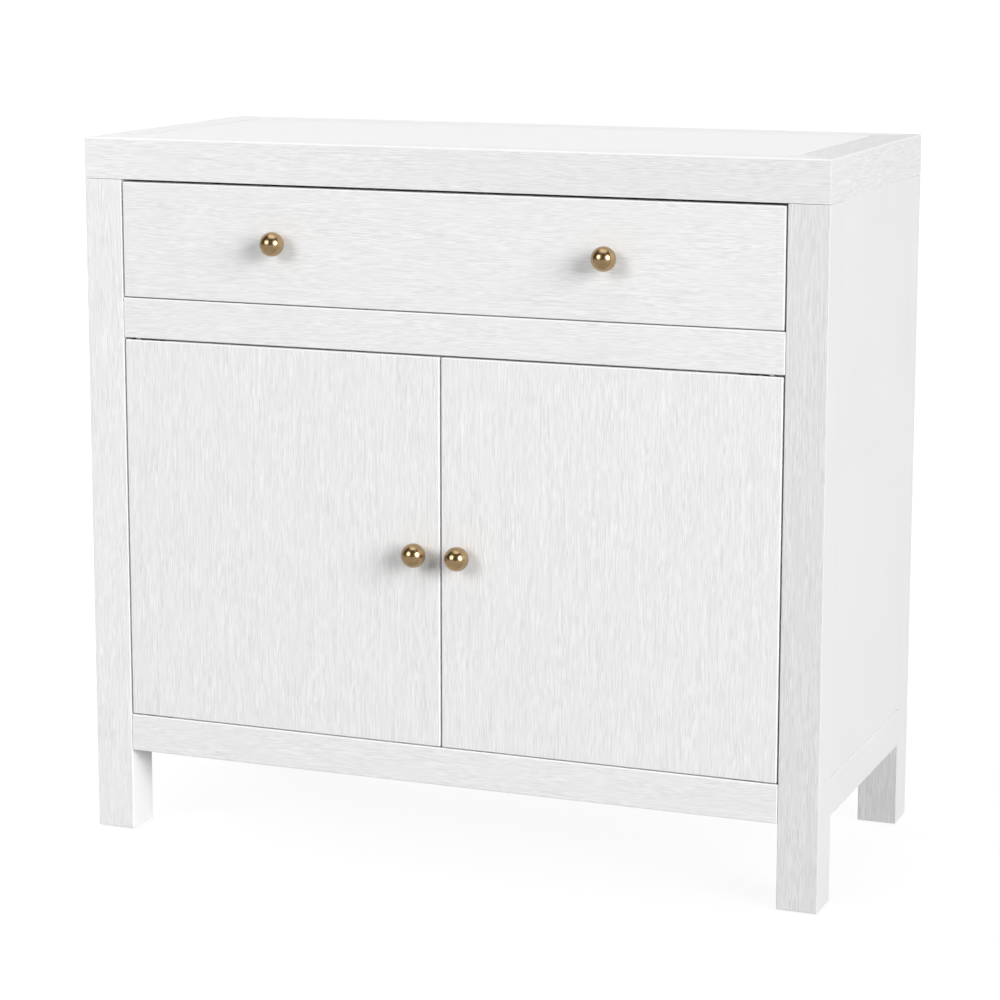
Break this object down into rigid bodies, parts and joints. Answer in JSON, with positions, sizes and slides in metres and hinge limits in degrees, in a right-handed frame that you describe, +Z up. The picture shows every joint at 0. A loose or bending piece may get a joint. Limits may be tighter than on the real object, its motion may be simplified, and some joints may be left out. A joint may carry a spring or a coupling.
{
  "type": "cabinet",
  "caption": "Painted wooden cabinet on square legs, a wide drawer over inset double doors, with an adjustable shelf, ball knobs and a thick framed top.",
  "frame": {"origin": "on the floor, at the middle of the whole outline seen from above, knobs included", "axes": "+X to the cabinet's right as seen from the front, +Y from the doors to the back, +Z up"},
  "size_m": [0.864, 0.422, 0.804],
  "materials": {
    "grain_paint": "white satin paint over fine open wood grain that still shows as short brushed lines",
    "smooth_paint": "white satin paint, smooth, with only a very faint grain",
    "birch": "clear-lacquered pale wood",
    "aged_brass": "aged brass, brown-gold, satin polished",
    "zinc_steel": "zinc-plated steel",
    "white_nylon": "off-white moulded nylon"
  },
  "bodies": {
    "cabinet": {"top_panel": "smooth_paint", "top_border_front": "grain_paint", "top_border_right": "grain_paint", "top_border_back": "grain_paint", "top_border_left": "grain_paint", "leg_front_left": "grain_paint", "leg_back_left": "grain_paint", "leg_front_right": "grain_paint", "leg_back_right": "grain_paint", "glide_front_left": "white_nylon", "glide_back_left": "white_nylon", "glide_front_right": "white_nylon", "glide_back_right": "white_nylon", "side_panel_left": "smooth_paint", "side_rail_left": "smooth_paint", "side_panel_right": "smooth_paint", "side_rail_right": "smooth_paint", "middle_rail": "grain_paint", "bottom_rail": "grain_paint", "cupboard_floor": "smooth_paint", "drawer_deck": "smooth_paint", "shelf": "smooth_paint", "back_rail": "smooth_paint", "back_panel": "smooth_paint", "shelf_pin_front_left": "zinc_steel", "shelf_pin_back_left": "zinc_steel", "shelf_pin_front_right": "zinc_steel", "shelf_pin_back_right": "zinc_steel", "hinge_rail_leaf_top_left": "zinc_steel", "hinge_rail_leaf_bottom_left": "zinc_steel", "hinge_rail_leaf_top_right": "zinc_steel", "hinge_rail_leaf_bottom_right": "zinc_steel", "slide_rail_left": "zinc_steel", "slide_rail_right": "zinc_steel", "door_catch": "white_nylon"},
    "drawer": {"drawer_front": "grain_paint", "drawer_inner_front": "birch", "drawer_back": "birch", "drawer_bottom": "birch", "drawer_side_left": "birch", "slide_runner_left": "zinc_steel", "drawer_knob_left": "aged_brass", "drawer_knob_screw_left": "zinc_steel", "drawer_side_right": "birch", "slide_runner_right": "zinc_steel", "drawer_knob_right": "aged_brass", "drawer_knob_screw_right": "zinc_steel"},
    "left_door": {"door_left": "grain_paint", "door_knob_left": "aged_brass", "door_knob_screw_left": "zinc_steel", "hinge_door_leaf_top_left": "zinc_steel", "hinge_door_leaf_bottom_left": "zinc_steel", "strike_plate_left": "zinc_steel"},
    "right_door": {"door_right": "grain_paint", "door_knob_right": "aged_brass", "door_knob_screw_right": "zinc_steel", "hinge_door_leaf_top_right": "zinc_steel", "hinge_door_leaf_bottom_right": "zinc_steel", "strike_plate_right": "zinc_steel"}
  },
  "joints": [
    {"name": "drawer_slide", "type": "slide", "parent": "cabinet", "child": "drawer", "axis": [0, -1, 0], "range_m": [0, 0.26]},
    {"name": "left_door_hinge", "type": "hinge", "parent": "cabinet", "child": "left_door", "pos_m": [-0.371, -0.1745, 0.359], "axis": [0, 0, -1], "range_deg": [0, 105]},
    {"name": "right_door_hinge", "type": "hinge", "parent": "cabinet", "child": "right_door", "pos_m": [0.371, -0.1745, 0.359], "axis": [0, 0, 1], "range_deg": [0, 105]}
  ]
}
